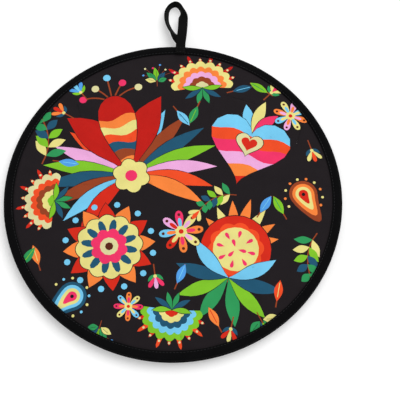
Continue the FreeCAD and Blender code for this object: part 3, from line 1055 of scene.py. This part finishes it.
def top_face(radius, angle):
    return pressed_top + pillow_rise * pillow(radius) + cloth_detail(radius, angle, top_seed)


upper_cover = printed_disc("upper_cover_disc", cloth_print, top_face, -cover_cloth)
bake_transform(upper_cover)
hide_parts("upper_cover_back", "upper_cover_flap")

# Upper wadding
# The padding of the top disc is another round of needled polyester.
upper_wadding = layered_disc("upper_wadding_disc", raised(ceiling, lining_cloth + ply_gap),
                             raised(top_face, -cover_cloth - ply_gap), wadding_fibre)
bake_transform(upper_wadding)
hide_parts("upper_wadding_back", "upper_wadding_flap")

# Upper mouth binding and its stitching
# The upper lip has its own bias tape, sewn like the lower one.
upper_lip_seed = 53.0
upper_lip_low, upper_lip_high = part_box("upper_mouth_binding")
upper_lip = bound_edge("upper_mouth_tape", mouth_start, mouth_end, upper_lip_low.z, upper_lip_high.z,
                       upper_lip_seed)
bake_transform(upper_lip)
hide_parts("upper_mouth_binding", "upper_mouth_binding_ends")
upper_lip_thread = stitch_line("upper_mouth_thread", mouth_start, mouth_end,
                               upper_lip_low.z, upper_lip_high.z)
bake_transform(upper_lip_thread)
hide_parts("upper_mouth_stitching", "upper_mouth_stitching_ends")

# Rim binding and its stitching
# Round the back one wide fold of bias tape takes in both discs. Its ends lap over the ends of the two
# mouth bindings and are sewn down.
rim_lap = math.radians(1.6)
rim_proud = 0.00012
rim_seed = 61.0
rim_start = mouth_end - rim_lap
rim_end = mouth_start + 2 * math.pi + rim_lap
rim_binding = bound_edge("rim_tape", rim_start, rim_end, rim_low.z, rim_high.z, rim_seed, rim_proud)
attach(rim_binding, "pouch")
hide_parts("rim_binding")
rim_thread = stitch_line("rim_thread", rim_start, rim_end, rim_low.z - rim_proud, rim_high.z + rim_proud)
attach(rim_thread, "pouch")
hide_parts("rim_stitching")

# Hanging loop and its stitching
# One length of tape, folded and edge-stitched, is doubled back on itself. Its two tails lie one on the
# other on the rim and are sewn through. The loop stands out behind, flat on its right side and on edge on
# its left.
tape_width = 0.009
tape_thickness = 0.0012
tails_low, tails_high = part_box("hanging_loop_tails")
loop_hinge = next(Vector(joint["pos_m"]) for joint in frame["joints"] if joint["name"] == "loop_swing")
tail_offset = 0.000625
tail_steps = 20
table_clearance = 0.00035
loop_drop = loop_hinge.z - tape_width / 2 - table_clearance

# Each point of the route is how far it lies across and out from the hinge, and its share of the drop to
# the table. Each turn is a share of the way round, and how far the tape stands on edge there, in degrees.
loop_route = [
    (0.0005, 0.0060, -0.03),
    (0.0009, 0.0145, 0.16),
    (0.0010, 0.0252, 0.50),
    (0.0006, 0.0335, 0.76),
    (-0.0012, 0.0410, 0.92),
    (-0.0042, 0.0453, 0.97),
    (-0.0078, 0.0465, 1.0),
    (-0.0119, 0.0441, 1.0),
    (-0.0143, 0.0395, 0.98),
    (-0.0151, 0.0334, 0.95),
    (-0.0143, 0.0272, 0.90),
    (-0.0116, 0.0201, 0.78),
    (-0.0078, 0.0135, 0.60),
    (-0.0037, 0.0078, 0.40),
    (-0.0006, 0.0035, 0.21),
]
loop_turns = [(0.0, 0), (0.27, 0), (0.4, 76), (0.52, 84), (0.64, 66), (0.82, 60), (0.95, 0), (1.0, 0)]
loop_steps = 220
curve_steps = 16
tape_seam = 0.0011
seam_width = 0.0004
seam_depth = 0.00014
tape_ruffle = 0.00008
ruffles_along = 260
ruffles_across = 420
ruffle_seed = 71.0
face_apart = 0.02
loop_black = (5, 5, 5)
tail_row = 0.0061
tail_middle = 0.0039
tail_side = 0.0034


def smooth_line(before_it, route, after_it, steps):
    """Even points on a curve through the route. before_it and after_it set the way its ends run."""
    fine = []
    ends = [before_it] + route + [after_it]
    for n in range(1, len(ends) - 2):
        before, here, there, after = ends[n - 1], ends[n], ends[n + 1], ends[n + 2]
        reach = (there - here).length
        leave = (there - before) * (reach / ((here - before).length + reach))
        arrive = (after - here) * (reach / ((after - there).length + reach))
        for k in range(curve_steps):
            t = k / curve_steps
            fine.append(here * (2 * t**3 - 3 * t**2 + 1) + leave * (t**3 - 2 * t**2 + t)
                        + there * (3 * t**2 - 2 * t**3) + arrive * (t**3 - t**2))
    fine.append(route[-1])
    lengths = np.concatenate([[0], np.cumsum([(b - a).length for a, b in zip(fine, fine[1:])])])
    spots = np.linspace(0, lengths[-1], steps + 1)
    table = np.array([tuple(p) for p in fine])
    return [Vector([np.interp(spot, lengths, table[:, axis]) for axis in range(3)]) for spot in spots]


def loop_turn(share):
    for (start, start_turn), (end, end_turn) in zip(loop_turns, loop_turns[1:]):
        if share <= end:
            turned = float(eased((share - start) / (end - start)))
            return math.radians(start_turn + (end_turn - start_turn) * turned)


def hanging_tape():
    """The tape's mesh along both tails and round the loop."""
    leaving = loop_hinge + Vector((0, 0, tail_offset))
    coming = loop_hinge - Vector((0, 0, tail_offset))
    outer = [loop_hinge + Vector((across, out, -down * loop_drop)) for across, out, down in loop_route]
    back = Vector((0, loop_hinge.y - tails_low.y, 0))
    curve = smooth_line(leaving - back, [leaving] + outer + [coming], coming - back, loop_steps)
    tail = [back * (1 - n / tail_steps) for n in range(tail_steps)]
    route = [leaving - short for short in tail] + curve + [coming - short for short in tail[::-1]]
    flat_tail = [0.0] * tail_steps
    turn = flat_tail + [loop_turn(n / loop_steps) for n in range(loop_steps + 1)] + flat_tail
    sides = []
    edge = tape_thickness / 2
    for n in range(11):
        sides.append((-tape_width / 2 + edge + (tape_width - 2 * edge) * n / 10, edge))
    for n in (1, 2, 3):
        c, s = facing(0.5 - n / 4)
        sides.append((tape_width / 2 - edge + edge * c, edge * s))
    sides += [(-u, -v) for u, v in sides]
    points = []
    flat = []
    along = 0.0
    for n, middle in enumerate(route):
        run = (route[min(n + 1, len(route) - 1)] - route[max(n - 1, 0)]).normalized()
        if n:
            along += (middle - route[n - 1]).length
        level_side = run.cross(Vector((0, 0, 1))).normalized()
        upward = level_side.cross(run)
        across = level_side * math.cos(turn[n]) + upward * math.sin(turn[n])
        through = run.cross(across)
        for u, v in sides:
            groove = math.exp(-(((abs(u) - tape_width / 2 + tape_seam) / seam_width) ** 2))
            lumps = noise.noise((along * ruffles_along, u * ruffles_across, ruffle_seed))
            ruffle = tape_ruffle * lumps - seam_depth * groove
            points.append(tuple(middle + across * u + through * (v + math.copysign(ruffle, v))))
            flat.append((along, u, math.copysign(face_apart, v)))
    return add_piece("hanging_loop_tape", points, tube_faces(len(route), len(sides)), flat, loop_tape)


def loop_stitches():
    """Two rows of stitches across the tails, and one stitch along each side between them."""
    points = []
    faces = []
    height = tails_high.z - stitch_sink
    for row in (stitch_inset, tail_row):
        for n in range(3):
            place = Vector((tape_width * ((n + 0.5) / 3 - 0.5), tails_low.y + row, height))
            add_stitch(points, faces, place, Vector((1, 0, 0)), Vector((0, 0, 1)))
    for side in (-1, 1):
        place = Vector((side * tail_side, tails_low.y + tail_middle, height))
        add_stitch(points, faces, place, Vector((0, 1, 0)), Vector((0, 0, 1)))
    return add_thread("hanging_loop_thread", points, faces)


loop_tape = cloth_material("loop tape", threads=2100, relief=0.00007, base=linear(loop_black),
                           roughness=0.8, gloss=0.06, shade=(0.7, 1.4))
loop = hanging_tape()
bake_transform(loop)
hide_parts("hanging_loop", "hanging_loop_tails")

loop_thread = loop_stitches()
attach(loop_thread, "pouch")
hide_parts("hanging_loop_stitching")

# Table and light
# A plain white table, one broad soft lamp from behind on the right, and an even white surround.
table_size = 6.0
table_drop = 0.0002
table_glow = 0.3
surround_light = 0.58
surround_glow = 0.42
lamp_strength = 1.55
lamp_width = math.radians(50)
lamp_way = Vector((-0.36, -0.38, -1))


def seen_rays(tree):
    """1 for what the camera sees, straight or through a gloss, and 0 for the light on the object."""
    rays = add_node(tree, "LightPath")
    seen = maths(tree, "MAXIMUM", rays.outputs["Is Camera Ray"], rays.outputs["Is Glossy Ray"])
    return maths(tree, "MAXIMUM", seen, rays.outputs["Is Transmission Ray"])


table_mesh = bpy.data.meshes.new("table")
half = table_size / 2
table_corners = [(-half, -half, 0), (half, -half, 0), (half, half, 0), (-half, half, 0)]
table_mesh.from_pydata(table_corners, [], [(0, 1, 2, 3)])
table = bpy.data.objects.new("table", table_mesh)
table.location.z = -table_drop
bpy.context.collection.objects.link(table)
white = bpy.data.materials.new("white table")
white.use_nodes = True
tree = white.node_tree
surface = tree.nodes["Principled BSDF"]
surface.inputs["Base Color"].default_value = (0.8, 0.8, 0.8, 1)
surface.inputs["Roughness"].default_value = 0.9
surface.inputs["Emission Color"].default_value = (1, 1, 1, 1)
glow = maths(tree, "MULTIPLY", seen_rays(tree), table_glow)
tree.links.new(glow, surface.inputs["Emission Strength"])
table.data.materials.append(white)

lamp_data = bpy.data.lights.new("lamp", "SUN")
lamp_data.energy = lamp_strength
lamp_data.angle = lamp_width
lamp = bpy.data.objects.new("lamp", lamp_data)
lamp.rotation_euler = lamp_way.to_track_quat("-Z", "Y").to_euler()
bpy.context.collection.objects.link(lamp)

world = bpy.data.worlds.new("surround")
world.use_nodes = True
bpy.context.scene.world = world
tree = world.node_tree
background = tree.nodes["Background"]
background.inputs["Color"].default_value = (1, 1, 1, 1)
strength = maths(tree, "ADD", maths(tree, "MULTIPLY", seen_rays(tree), surround_glow), surround_light)
tree.links.new(strength, background.inputs["Strength"])

bpy.context.scene.view_settings.view_transform = "Standard"
